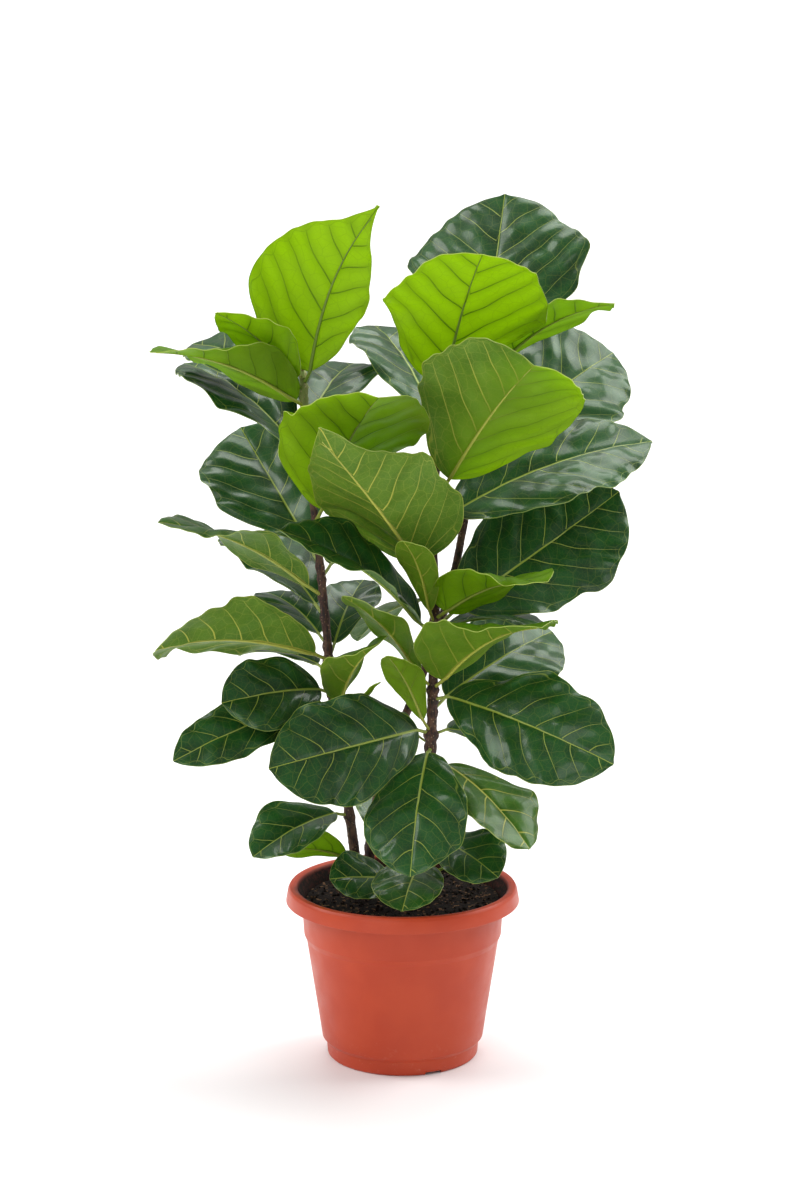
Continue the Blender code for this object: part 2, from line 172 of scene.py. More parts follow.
def smooth_point(points, share):
    """The point at a share of the way along a Catmull-Rom curve through points."""
    along = share * (len(points) - 1)
    i = min(int(along), len(points) - 2)
    t = along - i
    a, b, c, d = (Vector(points[max(0, min(len(points) - 1, i + k))]) for k in (-1, 0, 1, 2))
    return 0.5 * ((2 * b) + (c - a) * t + (2 * a - 5 * b + 4 * c - d) * t * t
                  + (3 * b - a - 3 * c + d) * t ** 3)


def stem_at(stem, height):
    """The stem's axis point and radius at a height."""
    low, high = 0.0, 1.0
    for _ in range(30):
        middle = (low + high) / 2
        if smooth_point(stem.points, middle).z < height:
            low = middle
        else:
            high = middle
    radius = stem.foot_radius + (stem.top_radius - stem.foot_radius) * low
    return smooth_point(stem.points, low), radius


print("stem tops at", [round(s.points[-1][2], 3) for s in STEMS.values()], "m")

# %% [markdown]
# Every leaf is one row of the table below, under its stem. Its height says where it grows. Its
# heading is the way it points in plan: 0 to the right, -90 to the front, 90 to the back.
# The rise is the angle above the horizontal of the line from the blade's base to its tip. Roll
# turns the blade about its midrib, and a positive roll lifts its left margin, seen along the
# heading. Arch and sway bow the midrib up and to its left, as shares of the length. Fold raises
# each half from flat, and twist is the roll of the tip over the base. Lean makes the left half
# wider than the right one, lobe notches the tip and curl turns it up. Age is 0 for an old dark leaf
# and 1 for a soft yellow-green one. Shift is painted light and shade: it makes the left margin
# that much younger than the midrib, so brighter and more see-through, as if one half were lit
# from behind and the other shaded, and a negative shift does the opposite. Angles are in degrees.

# %% Leaves
USUAL_LEAF = {"petiole": 0.02, "roll": 0, "arch": 0.08, "fold": 12, "twist": 0, "sway": 0.0,
              "lean": 0.0, "widest": 0.6, "point": 0.56, "age": 0.0, "lobe": 0.0, "curl": 0.0,
              "shift": 0.0}
Leaf = namedtuple("Leaf", ["height", "heading", "rise", "length", "width", *USUAL_LEAF],
                  defaults=USUAL_LEAF.values())
LEAVES = {}
LEAVES["left"] = [
    Leaf(0.225, -152, 12, 0.088, 0.070, 0.006, roll=40, fold=15, age=0.75),
    Leaf(0.280, -140, -14, 0.120, 0.080, 0.012, roll=-20, fold=20),
    Leaf(0.375, -40, 50, 0.045, 0.014, 0.040, age=0.8),
    Leaf(0.405, -57, 45, 0.115, 0.095, 0.008, roll=15, fold=25, age=0.6),
    Leaf(0.410, -150, -13, 0.190, 0.072, 0.006, roll=-40),
    Leaf(0.424, -148, 0, 0.125, 0.095, 0.008, roll=-50),
    Leaf(0.448, 139, -3, 0.120, 0.080, 0.012),
    Leaf(0.464, 72, 28, 0.115, 0.070, 0.015),
    Leaf(0.463, -148, 8, 0.200, 0.125, 0.012, roll=40, fold=25, age=0.4),
    Leaf(0.480, 126, 16, 0.110, 0.075, 0.012),
    Leaf(0.514, 130, 21, 0.165, 0.110, 0.012),
    Leaf(0.537, -156, 26, 0.195, 0.110, 0.012, roll=15, twist=-60, point=0.7, age=0.25),
    Leaf(0.558, 58, 20, 0.135, 0.085, 0.015),
    Leaf(0.572, 124, 38, 0.175, 0.155, 0.032, roll=-30, arch=0.0, fold=20),
    Leaf(0.622, -61, 47, 0.190, 0.170, 0.015, roll=-12, fold=15, age=0.80, lobe=0.08, shift=-0.15),
    Leaf(0.690, 139, 25, 0.185, 0.125, 0.020),
    Leaf(0.728, 70, 18, 0.130, 0.115, 0.020),
    Leaf(0.752, -147, 20, 0.190, 0.100, 0.006, roll=20, fold=20, twist=-55, widest=0.5,
         point=0.8, age=0.75),
    Leaf(0.762, 141, 14, 0.150, 0.110, 0.015, roll=-15),
    Leaf(0.770, -134, 36, 0.140, 0.080, 0.012, roll=15, widest=0.5, point=0.8, age=0.9),
    Leaf(0.776, -50, 58, 0.210, 0.132, 0.012, roll=-50, fold=2, sway=-0.07, lean=-0.34,
         widest=0.43, point=1.2, age=0.95, curl=0.06),
]
LEAVES["right"] = [
    Leaf(0.192, -150, 9, 0.080, 0.066, 0.035, roll=-45),
    Leaf(0.210, -40, 16, 0.055, 0.016, 0.010, age=0.8),
    Leaf(0.224, -102, -15, 0.095, 0.084, 0.020, age=0.1),
    Leaf(0.252, -50, -12, 0.100, 0.080, 0.015, roll=25),
    Leaf(0.285, 30, -22, 0.115, 0.085, 0.030, roll=45),
    Leaf(0.344, -44, -30, 0.145, 0.095, 0.015, roll=8, fold=6, age=0.42),
    Leaf(0.362, -99, -40, 0.165, 0.115, 0.015, roll=3, fold=5),
    Leaf(0.366, 152, 14, 0.060, 0.055, 0.015),
    Leaf(0.378, 32, -26, 0.140, 0.090, 0.012, roll=20),
    Leaf(0.379, -144, -4, 0.200, 0.122, 0.010, roll=-68, fold=5),
    Leaf(0.380, -128, 53, 0.105, 0.045, 0.015, roll=20, age=0.7),
    Leaf(0.419, -35, -12, 0.220, 0.122, 0.012, roll=52, fold=5),
    Leaf(0.406, 42, 17, 0.175, 0.120, 0.015, roll=40),
    Leaf(0.432, -160, 47, 0.130, 0.065, 0.015, roll=20, age=0.6),
    Leaf(0.432, -51, 28, 0.185, 0.170, 0.012, roll=-6, fold=20, widest=0.5, point=0.8, age=0.6),
    Leaf(0.500, 8, -3, 0.115, 0.080, 0.008),
    Leaf(0.494, -154, 35, 0.205, 0.095, 0.014, roll=-30, fold=30),
    Leaf(0.507, -110, 48, 0.125, 0.045, 0.015, age=0.6),
    Leaf(0.500, 27, 29, 0.235, 0.155, 0.030, roll=54, arch=-0.03, fold=5),
    Leaf(0.512, -45, 20, 0.160, 0.110, 0.012, roll=-15, fold=20, twist=50, widest=0.5, age=0.8),
    Leaf(0.528, 132, -31, 0.125, 0.060, 0.015),
    Leaf(0.552, -128, 43, 0.232, 0.180, 0.034, roll=20, arch=0.02, fold=27,
         widest=0.38, point=0.92, age=0.45, curl=0.05, shift=-0.1),
    Leaf(0.618, 15, 17, 0.240, 0.150, 0.020, roll=30, widest=0.52, point=0.72),
    Leaf(0.648, -55, 43, 0.205, 0.190, 0.030, roll=-34, fold=20, age=0.66, lobe=0.10, shift=0.28),
    Leaf(0.728, 114, 28, 0.175, 0.115, 0.015),
    Leaf(0.760, -70, 54, 0.190, 0.172, 0.012, roll=-12, fold=5, age=0.95, lobe=0.03),
]
LEAVES["back"] = [
    Leaf(0.235, 80, 16, 0.110, 0.070, 0.015),
    Leaf(0.676, 40, 26, 0.215, 0.145, 0.020, roll=45),
    Leaf(0.773, -44, 26, 0.190, 0.095, 0.020, roll=-10, point=0.8, age=0.8),
    Leaf(0.777, 78, 52, 0.222, 0.205, 0.015, arch=0.0, roll=-6, fold=3),
]
print({stem: len(rows) for stem, rows in LEAVES.items()}, "leaves")

# %% [markdown]
# A leaf's middle surface is a curved ribbon. The midrib is an arc from the stalk to the tip, a frame
# of directions runs along it, and each half of the blade stands out from it at the fold angle. The
# half width swells and closes like a sine, which gives the broad fiddle shape.

# %% The leaf formula
MARGIN_BULGES = 0.15  # how far the margin swings in and out, as a share of the half width
MARGIN_NICKS = 0.045  # the same for its finer bumps
BULGES_PER_METRE = 24
WAVE_HEIGHT = 0.09  # how far the margin waves up and down, as a share of the half width
WAVES = 1.7  # along the whole blade


def direction(heading, rise):
    """The unit vector at a heading and a rise in degrees."""
    heading, rise = math.radians(heading), math.radians(rise)
    level = math.cos(rise)
    return Vector((level * math.cos(heading), level * math.sin(heading), math.sin(rise)))


class LeafShape:
    """The middle surface of one leaf, blade and stalk."""

    def __init__(self, row, number, stem):
        self.leaf = row
        self.stem = stem
        self.number = number
        self.chord = direction(row.heading, row.rise)
        level = math.radians(row.heading + 90)
        self.left = Vector((math.cos(level), math.sin(level), 0.0))
        self.up = self.chord.cross(self.left)
        self.foot, radius = stem_at(stem, row.height)
        self.outward = direction(row.heading, (row.rise + 45) / 2)
        self.start = self.foot + self.outward * (radius * 0.5)
        self.base = self.foot + self.outward * (radius + PETIOLE_CLEARANCE + row.petiole)

    def axes(self, share):
        """The blade's left and upward directions at a share of the midrib."""
        roll = math.radians(self.leaf.roll + self.leaf.twist * (share - 0.5))
        left = self.left * math.cos(roll) + self.up * math.sin(roll)
        up = self.up * math.cos(roll) - self.left * math.sin(roll)
        return left, up

    def midrib(self, share):
        """The midrib's point at a share of its length."""
        left, up = self.axes(0.5)
        bow = 4 * share * (1 - share) * self.leaf.length
        return (self.base + self.chord * (self.leaf.length * share)
                + up * (bow * self.leaf.arch) + left * (bow * self.leaf.sway))

    def frame(self, share):
        """The midrib's point, and the directions along it, to its left and upwards."""
        step = 0.01
        along = (self.midrib(share + step) - self.midrib(share - step)).normalized()
        left, _ = self.axes(share)
        left = (left - along * left.dot(along)).normalized()
        return self.midrib(share), along, left, along.cross(left)

    def half_width(self, share):
        """Half the blade's smooth width at a share of the midrib."""
        if not 0.0 < share < 1.0:
            return PETIOLE_WIDTH / 2
        shift = math.log(0.5) / math.log(self.leaf.widest)
        full = math.sin(math.pi * share ** shift) ** self.leaf.point
        return max(PETIOLE_WIDTH / 2, 0.5 * self.leaf.width * full)

    def outline(self, share, side):
        """How far the margin bulges past or falls short of the smooth half width, as a factor."""
        along = self.leaf.length * share * BULGES_PER_METRE
        edge = Vector((along, math.copysign(4.0, side), 2.3 * self.number))
        bulge = MARGIN_BULGES * noise.noise(edge) + MARGIN_NICKS * noise.noise(edge * 2.6)
        return 1 + bulge * abs(side)

    def wave(self, share, side):
        """The margin's slow undulation, as a share of the half width."""
        phase = 2.4 * self.number + (1.9 if side > 0 else 0.0)
        return WAVE_HEIGHT * math.sin(2 * math.pi * WAVES * share + phase) * min(1.0, 3 * share)


SHAPES = {}
for stem_name, rows in LEAVES.items():
    for i, row in enumerate(rows):
        SHAPES[f"leaf_{stem_name}_{i + 1:02d}"] = LeafShape(row, i, STEMS[stem_name])
print("first blade starts at", [round(c, 3) for c in SHAPES["leaf_left_01"].base])


# %% [markdown]
# ## Veins
# A fiddle leaf's side veins leave the midrib at a steep angle, curve towards the tip and arch into
# each other near the margin, and a few more fan out from the heart-shaped base. Painting them would
# need an image for each leaf. Instead every point gets a phase that is a whole number on a side
# vein, so that both the mesh and the shader know where the veins are and can agree.

# %% Vein phase
VEIN_SPACING = 0.034
VEIN_SLOPE = 0.72
VEIN_CURVE = 0.30
VEIN_WANDER = 0.006


def vein_phase(shape, x, y):
    """(phase, spacing in mm) of the side veins at a flat point of the blade."""
    length, half = shape.leaf.length, shape.leaf.width / 2
    count = max(4.0, min(7.0, length / VEIN_SPACING))
    out = abs(y)
    wander = noise.noise(Vector((x * 26, y * 26, 1.7 * shape.number)))
    start = x - out * VEIN_SLOPE - VEIN_CURVE * out * out / half
    start += VEIN_WANDER * wander * min(1.0, out / 0.01)
    steep = math.sqrt(1 + (VEIN_SLOPE + 2 * VEIN_CURVE * out / half) ** 2)
    if start >= 0:
        stagger = 0.35 * min(1.0, start / (0.2 * length)) if y > 0 else 0.0
        return start / length * count + stagger, 1000 * length / count / steep
    reach = max(0.004, math.hypot(x, y))
    return 2 * start / reach, 1000 * reach / 2 / steep


print("a side vein every", round(1000 * VEIN_SPACING), "mm along the midrib")


# %% [markdown]
# ## A leaf
# The blade starts as a flat grid that is bent into the leaf's shape, so its quads follow the
# midrib. Between the side veins the real blade bulges upwards like quilting, and its margin ripples,
# which breaks up the gloss. Sculpting would do this once, but a formula does it for every leaf. The
# grid is then extruded downwards into a thin closed shell whose underside has its own matt skin.

# %% Blade
ROWS, COLUMNS = 92, 46
BLADE_THICKNESS = 0.0008
AURICLE = 0.16  # how far the base reaches back round the stalk, as a share of the length
DRIP_TIP = 0.009  # how far the point stands out of the tip, as a share of the length
QUILT_HEIGHT = 0.0015  # the bulge between two side veins
LUMP_HEIGHT = 0.0021
FOLD_HEIGHT = 0.0022  # broad folds that follow the side veins
GROOVE_DEPTH = 0.0011  # the channel over the midrib
FRILL_HEIGHT = 0.0085  # the ripple of the margin


def smooth_step(value, low, high):
    """0 below low, 1 above high, and a smooth rise between them."""
    t = max(0.0, min(1.0, (value - low) / (high - low)))
    return t * t * (3 - 2 * t)


def surface_lift(shape, x, reach, side, full):
    """How far the relief raises a flat point of the blade."""
    row, out = shape.leaf, abs(side)
    phase, _ = vein_phase(shape, x, reach)
    quilt = (0.5 - 0.5 * math.cos(2 * math.pi * phase)) * smooth_step(abs(reach), 0.0, 0.02)
    quilt *= 1 - 0.5 * smooth_step(out, 0.8, 1.0)
    lumps = noise.noise(Vector((x * 38, reach * 38, 7.0 * shape.number)))
    folds = noise.noise(Vector((phase * 1.1, reach * 12, 5.0 * shape.number)))
    ripple = noise.noise(Vector((x * 28, 5.0 * math.copysign(1, side), 3.1 * shape.number)))
    firm = 1 - 0.5 * row.age
    frill = FRILL_HEIGHT * ripple + 0.0016 * math.sin(2 * math.pi * phase)
    relief = QUILT_HEIGHT * firm * quilt * (1 + lumps) + LUMP_HEIGHT * lumps
    relief += FOLD_HEIGHT * folds * smooth_step(abs(reach), 0.0, 0.03) + frill * out ** 3
    groove = GROOVE_DEPTH * math.exp(-(reach / 0.0028) ** 2)
    return full * (min(1.0, row.width / 0.12) * relief - groove)


def blade_vertex(shape, share, side, frame_at):
    """(place, flat point, distance to the margin) of one vertex of the blade."""
    row = shape.leaf
    centre, along, left, up = frame_at
    half = shape.half_width(share) * shape.outline(share, side) * (1 + row.lean * side)
    reach = side * half
    half_most = 0.5 * row.width
    full = min(1.0, half / half_most)
    back = AURICLE * side * side * full * math.exp(-(share / 0.2) ** 2)
    back -= row.lobe * share ** 6 * math.sin(math.pi * min(1.0, abs(reach) / half_most))
    back -= DRIP_TIP * math.exp(-(reach / 0.004) ** 2) * smooth_step(share, 0.9, 1.0)
    back *= row.length
    x = share * row.length - back
    fold = math.radians(row.fold * (1.15 - 0.5 * share))
    lift = abs(reach) * (math.sin(fold) + side * side * (shape.wave(share, side) - 0.10))
    lift += row.curl * row.length * smooth_step(share, 0.82, 1.0)
    lift += surface_lift(shape, x, reach, side, full)
    place = centre - along * back + left * (reach * math.cos(fold)) + up * lift
    return place, (x, reach), (1 - abs(side)) * half


def build_blade(shape):
    """The blade's closed shell; face material 0 is the upper skin, 1 the underside, 2 the margin."""
    bm = bmesh.new()
    bmesh.ops.create_grid(bm, x_segments=ROWS, y_segments=COLUMNS, size=1.0)
    layers = bm.verts.layers.float_vector
    flat, vein, spot, drop = [layers.new(name) for name in ("flat", "vein", "spot", "drop")]
    frames = {}
    tint = random.Random(shape.leaf.height).uniform(0.0, 1.0)
    for vert in bm.verts:
        step = round((vert.co.x + 1) / 2 * ROWS)
        share = 0.5 - 0.5 * math.cos(math.pi * step / ROWS)
        side = math.copysign(abs(vert.co.y) ** 1.15, vert.co.y)
        if step not in frames:
            frames[step] = shape.frame(share)
        vert.co, (x, y), margin = blade_vertex(shape, share, side, frames[step])
        phase, spacing = vein_phase(shape, x, y)
        # shift paints light and shade into the halves of the blade: one half is made younger, so
        # brighter and more see-through, as if lit from behind.
        age = max(0.0, min(1.0, shape.leaf.age + shape.leaf.shift * side))
        vert[flat] = (1000 * x, 1000 * y, age)
        vert[vein] = (phase, spacing, 1000 * margin)
        vert[spot] = (share, abs(side), tint)
    bm.normal_update()
    for vert in bm.verts:
        vert[drop] = vert.normal * -BLADE_THICKNESS
    top = set(bm.faces)
    under = bmesh.ops.extrude_face_region(bm, geom=list(top))["geom"]
    below = {item for item in under if isinstance(item, bmesh.types.BMFace)}
    for item in under:
        if isinstance(item, bmesh.types.BMVert):
            item.co += item[drop]
    for face in bm.faces:
        face.material_index = 0 if face in top else 1 if face in below else 2
    bmesh.ops.recalc_face_normals(bm, faces=bm.faces)
    layers.remove(drop)
    return bm


print(f"a blade of {ROWS * COLUMNS} quads a side, {1000 * BLADE_THICKNESS:.1f} mm thick")

# %% [markdown]
# The stalk runs on into the midrib, which stands out below the blade and tapers to the tip. A curve
# with a bevel could make it, but it has to follow the same bent line as the blade. So a second grid
# is rolled into a tube round that line, and its ends are closed.

# %% Stalk and midrib
RIB_ROWS, RIB_SIDES = 40, 10
RIB_SHARE = 0.97  # the midrib stops just short of the tip
RIB_DEPTH = 0.0009  # how far the midrib's top lies under the blade's surface


def add_rib(bm, shape):
    """The stalk and the midrib as one tapering tube; face material 3."""
    row = shape.leaf
    flat = bm.verts.layers.float_vector["flat"]
    stalk = (shape.base - shape.start).length
    total = stalk + row.length * RIB_SHARE
    before = set(bm.faces)
    verts = bmesh.ops.create_grid(bm, x_segments=RIB_ROWS, y_segments=RIB_SIDES, size=1.0)["verts"]
    thick = PETIOLE_WIDTH / 2 * min(1.0, 0.45 + row.length / 0.3)
    for vert in verts:
        run = (vert.co.x + 1) / 2 * total
        turn = math.pi * (vert.co.y + 1)
        share = (run - stalk) / row.length
        centre, _, left, up = shape.frame(max(0.0, share))
        if share < 0:
            sag = 0.04 * stalk * math.sin(math.pi * run / stalk)
            centre = shape.start.lerp(shape.base, run / stalk) - up * sag
            radius = thick * (1.0 + 0.25 * math.exp(-run / 0.004))
        else:
            radius = thick * (0.16 + 0.84 * (1 - share) ** 1.3)
        sink = smooth_step(share, -0.02, 0.05) * (0.97 * radius + RIB_DEPTH)
        around = left * (radius * math.cos(turn)) + up * (radius * math.sin(turn))
        vert.co = centre - up * sink + around
        vert[flat] = (1000 * (run - stalk), 0.0, row.age)
    bmesh.ops.remove_doubles(bm, verts=verts, dist=1e-6)
    tube = [face for face in bm.faces if face not in before]
    ends = [edge for edge in {e for f in tube for e in f.edges} if edge.is_boundary]
    tube += bmesh.ops.holes_fill(bm, edges=ends)["faces"]
    for face in tube:
        face.material_index = 3
    bmesh.ops.recalc_face_normals(bm, faces=tube)


print("a stalk of", RIB_ROWS * RIB_SIDES, "quads")

# %% [markdown]
# Each finished mesh becomes an object that rides on the model's one body and stands for its CAD
# node, which is hidden. Its place is in its mesh, and it is shaded smooth except where it turns
# sharply.

# %% Finishing a piece
def new_object(bm, name):
    """An object of bm's mesh, in the scene; bm is used up."""
    mesh = bpy.data.meshes.new(name)
    bm.to_mesh(mesh)
    bm.free()
    made = bpy.data.objects.new(name, mesh)
    scene.collection.objects.link(made)
    return made


def close_tube(bm):
    """Welds the seam of a rolled grid, fills its ends and turns its faces outwards."""
    bmesh.ops.remove_doubles(bm, verts=bm.verts, dist=1e-6)
    bmesh.ops.holes_fill(bm, edges=[edge for edge in bm.edges if edge.is_boundary])
    bmesh.ops.recalc_face_normals(bm, faces=bm.faces)


def finished(bm, name, materials, node_name, sharp=50):
    """Makes the piece's object from bm and ties it to the frame."""
    piece = new_object(bm, name)
    piece.data.shade_smooth()
    piece.data.set_sharp_from_angle(angle=math.radians(sharp))
    for material in materials:
        piece.data.materials.append(material)
    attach(piece, "root")
    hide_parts(node_name)
    return piece


# %% [markdown]
# ## Leaf skins
# The upper side has a waxy cuticle, so it is dark and glossy, and thin veins show pale through it.
# The underside has no wax: it is a matt, lighter green, with its veins raised and paler. A young
# leaf is thin and full of light green pigment, so light from behind comes through it. Each side is
# a Principled shader mixed with a Translucent one, and the age of the leaf drives both. The veins
# come first, as masks worked out from the phase and the flat place that each vertex carries.

# %% Vein masks
SIDE_VEIN_MM = (0.75, 0.35)  # half width at the midrib and at the margin
SIDE_VEIN_YOUNG = 1.7  # how much wider a young leaf's side veins show
MIDRIB_MM = (1.7, 0.5)  # half width at the stalk and at the tip
LOOP_MM, LOOP_SWING_MM = 5.2, 2.8  # how far in from the margin the side veins join up
NETS = ((13.0, 0.05), (4.5, 0.09))  # a mesh's width in mm, and its lines' as a share of it


def vein_masks(node):
    """Masks of the large and fine veins and the rim, then age, tint and painted light that lifts the
    panels' middles.
    """
    flat, vein, spot = (node("Attribute", out="Vector", attribute_name=name)
                        for name in ("flat", "vein", "spot"))
    x, across, age = node("SeparateXYZ", flat, out=None).outputs
    phase, spacing, margin = node("SeparateXYZ", vein, out=None).outputs
    share, out, tint = node("SeparateXYZ", spot, out=None).outputs

    off = node("Math.PINGPONG", phase, 0.5)
    # Painted light and shade: this mask is 0 at a vein and 1 in the middle of a panel, so panels look
    # lit and their edges shaded.
    panel_painted_light = node("MapRange", off, 0.0, 0.4)
    width = node("MapRange", out, 0.0, 1.0, *SIDE_VEIN_MM)
    young = node("MapRange", age, 0.1, 0.5, 1.0, SIDE_VEIN_YOUNG)
    width = node("Math.MULTIPLY", width, young)
    side = node("Math.MULTIPLY", off, spacing)
    side = node("Math.DIVIDE", side, width)
    side = node("MapRange", side, 0.95, 0.2)
    for value, *limits in ((margin, 1.0, 12.0), (out, 0.1, 1.0, 1.0, 0.6)):
        fade = node("MapRange", value, *limits)
        side = node("Math.MULTIPLY", side, fade)

    width = node("MapRange", share, 0.0, 1.0, *MIDRIB_MM)
    middle = node("Math.ABSOLUTE", across)
    middle = node("Math.DIVIDE", middle, width)
    middle = node("MapRange", middle, 1.2, 0.5)

    turn = node("Math.MULTIPLY", phase, math.tau)
    arch = node("Math.COSINE", turn)
    arch = node("Math.MULTIPLY_ADD", arch, LOOP_SWING_MM, LOOP_MM)
    loop = node("Math.SUBTRACT", margin, arch)
    loop = node("Math.ABSOLUTE", loop)
    loop = node("MapRange", loop, 0.6, 0.1)
    loop = node("Math.MULTIPLY", loop, 0.45)

    # The nets lie on the flat blade in millimetres, bent by up to 3 mm so that no line is straight.
    plane = node("CombineXYZ", x, across)
    wobble = node("TexNoise", plane, 0.12, 2.0, out="Color")
    bent = node("VectorMath.MULTIPLY", wobble, (3.0, 3.0, 0.0))
    bent = node("VectorMath.ADD", plane, bent)
    nets = []
    for size, wide in NETS:
        cells = node("TexVoronoi", bent, 1 / size, voronoi_dimensions="2D",
                     feature="DISTANCE_TO_EDGE")
        nets.append(node("MapRange", cells, wide, 0.0))

    large = node("Math.MAXIMUM", side, middle)
    large = node("Math.MAXIMUM", large, loop)
    fine = node("Math.MULTIPLY", nets[1], 0.5)
    fine = node("Math.MAXIMUM", nets[0], fine)
    rim = node("MapRange", margin, 1.0, 0.3)
    return large, fine, rim, age, tint, panel_painted_light


print("a net of veins every", [size for size, _ in NETS], "mm")

# %% [markdown]
# Both sides are the same graph with other numbers, so one function makes them. The colour between
# the veins drifts in soft blotches. A painted light makes the middle of each panel paler than its
# edges by the veins, and a painted shade tints the light that comes through next to each vein. The
# veins are sunk in the upper side and stand out of the underside. The light that comes through has
# its own colours, because a thick old vein lets less of it pass.

# %% Leaf skins
BLOTCH_MM = 30
GRAIN_MM = 1.6  # the cuticle's pores are finer, and this is as fine as still shows
GLOSS_MM = 14  # patches where the wax is thicker or thinner
THROUGH = (0.08, 0.60)  # the share of light that passes an old and a young leaf


def leaf_skin(name, blade, patch, vein, glow, vein_glow, roughness, rise, coat, net):
    """One side of a leaf; each list of colours runs from an old leaf to a young one.

    rise is 1 for raised veins and -1 for sunk ones, and net is how clearly the fine ones show.
    """
    material, node = new_material(name)
    large, fine, rim, age, tint, panel_painted_light = vein_masks(node)
    blade, patch, vein, glow, vein_glow = (node("ValToRGB", age, stops=codes)
                                           for codes in (blade, patch, vein, glow, vein_glow))
    place = node("TexCoord", out="Object")
    mottle = node("TexNoise", place, 1000 / BLOTCH_MM, 3.0)
    mottle = node("MapRange", mottle, 0.35, 0.65, 0.0, 0.6)
    mottle = node("Math.MULTIPLY_ADD", tint, 0.3, mottle)
    # Painted light: the middle of each panel is made paler, and the blade next to the veins darker.
    mottle = node("Math.MULTIPLY_ADD", panel_painted_light, 0.3, mottle)
    base = node("Mix", mottle, blade, patch)

    lines = node("Math.MULTIPLY", large, 0.9)
    for mask, strength in ((fine, net), (rim, 0.6)):
        faint = node("Math.MULTIPLY", mask, strength)
        lines = node("Math.MAXIMUM", lines, faint)
    base = node("Mix", lines, base, vein)

    grain = node("TexNoise", place, 1000 / GRAIN_MM, 2.0)
    grain = node("Math.MULTIPLY", grain, 0.07)
    relief = node("Math.MULTIPLY_ADD", fine, 0.12, large)
    relief = node("Math.MULTIPLY_ADD", relief, rise, grain)
    bump = node("Bump", {"Strength": 0.55, "Distance": 0.0007, "Height": relief})
    gloss = node("TexNoise", place, 1000 / GLOSS_MM, 2.0)
    rough = node("MapRange", gloss, 0.3, 0.7, roughness - 0.05, roughness + 0.09)
    skin = node("BsdfPrincipled", {
        "Base Color": base, "Roughness": rough, "Normal": bump, "IOR": 1.45,
        "Specular Tint": colour("#cdeec4"), "Coat Weight": coat, "Coat Roughness": 0.14})

    # Painted shade next to the veins: the light that comes through is mixed a little towards the veins'
    # colour, which is darker on young leaves.
    shade = node("Math.MULTIPLY_ADD", panel_painted_light, -0.17, 0.17)
    shade = node("Math.MAXIMUM", lines, shade)
    through = node("Mix", shade, glow, vein_glow)
    back = node("BsdfTranslucent", through, bump)
    amount = node("MapRange", age, 0.0, 1.0, *THROUGH)
    node("OutputMaterial", node("MixShader", amount, skin, back))
    return material


UPPER = leaf_skin(
    "leaf_cuticle_waxy",
    blade=("#0b2c10", "#2c5212", "#7a9c10"),
    patch=("#184b1a", "#436e1a", "#90b014"),
    vein=("#9cab44", "#b9b94a", "#c8c552", "#648016", "#6a8818"),
    glow=("#4f8a10", "#86b80a", "#c8e600"),
    vein_glow=("#7f9e3c", "#9ab43c", "#b0b43c", "#3f6a06", "#3f6a06"),
    roughness=0.38, rise=-1.0, coat=0.35, net=0.14)
UNDER = leaf_skin(
    "leaf_underside_matt",
    blade=("#42662a", "#4f7420", "#8aac0c"),
    patch=("#4e7234", "#6a8c2a", "#96b610"),
    vein=("#a4b864", "#c4c85c", "#d6d25a", "#749614", "#84a422"),
    glow=("#4a8210", "#7cae08", "#c8e600"),
    vein_glow=("#8fae50", "#b0bc44", "#c4c440", "#487606", "#4e7e08"),
    roughness=0.50, rise=1.0, coat=0.0, net=0.24)
print("leaf skins:", UPPER.name, "and", UNDER.name)

# %% [markdown]
# The margin is the thin edge of the shell, a firm yellowish line of its own on a real leaf.

# %% Margin material
MARGIN, node = new_material("leaf_margin_cut")
age = node("SeparateXYZ", node("Attribute", out="Vector", attribute_name="flat"), out="Z")
mottle = node("TexNoise", node("TexCoord", out="Object"), 1000 / 6, 3.0)
edge = [node("ValToRGB", age, stops=codes)
        for codes in (("#5f7a3a", "#a6bd3c"), ("#7b8f4a", "#b9cc52"))]
edge = node("Mix", mottle, *edge)
node("OutputMaterial", node("BsdfPrincipled", {"Base Color": edge, "Roughness": 0.5}))
print("margin:", MARGIN.name)

# %% [markdown]
# The stalk and midrib are firm and slightly ribbed. They are pale green on an old leaf, yellow on a
# middling one and a deeper green on a young one, with brown flecks of cork near the stem.

# %% Stalk material
CORK_MM = 1.5
STALK, node = new_material("leaf_stalk_green")
place = node("TexCoord", out="Object")
flat = node("Attribute", out="Vector", attribute_name="flat")
run, _, age = node("SeparateXYZ", flat, out=None).outputs
mottle = node("TexNoise", place, 1000 / 5, 3.0)
green = [node("ValToRGB", age, stops=codes)
         for codes in (("#8c9c40", "#a8a83c", "#4f7012"), ("#9cac54", "#b8b84c", "#62821c"))]
green = node("Mix", mottle, *green)
flecks = node("TexNoise", place, 1000 / CORK_MM, 4.0)
flecks = node("MapRange", flecks, 0.52, 0.62)
near_stem = node("MapRange", run, 20.0, -25.0, 0.0, 0.8)
cork = node("Math.MULTIPLY", flecks, near_stem)
shade = node("Mix", cork, green, colour("#5b4024"))
ribs = node("TexNoise", place, 1000 / 1.2, 3.0)
bump = node("Bump", {"Strength": 0.4, "Distance": 0.0004, "Height": ribs})
node("OutputMaterial", node("BsdfPrincipled", {"Base Color": shade, "Roughness": 0.45, "Normal": bump}))
print("stalk:", STALK.name)

# %% [markdown]
# Each leaf is now one mesh: the blade's shell with three skins, and its stalk and midrib. The record
# has one finish for old leaves and one for young ones, but every leaf gets the same skins here, and
# its age only sets their colours.

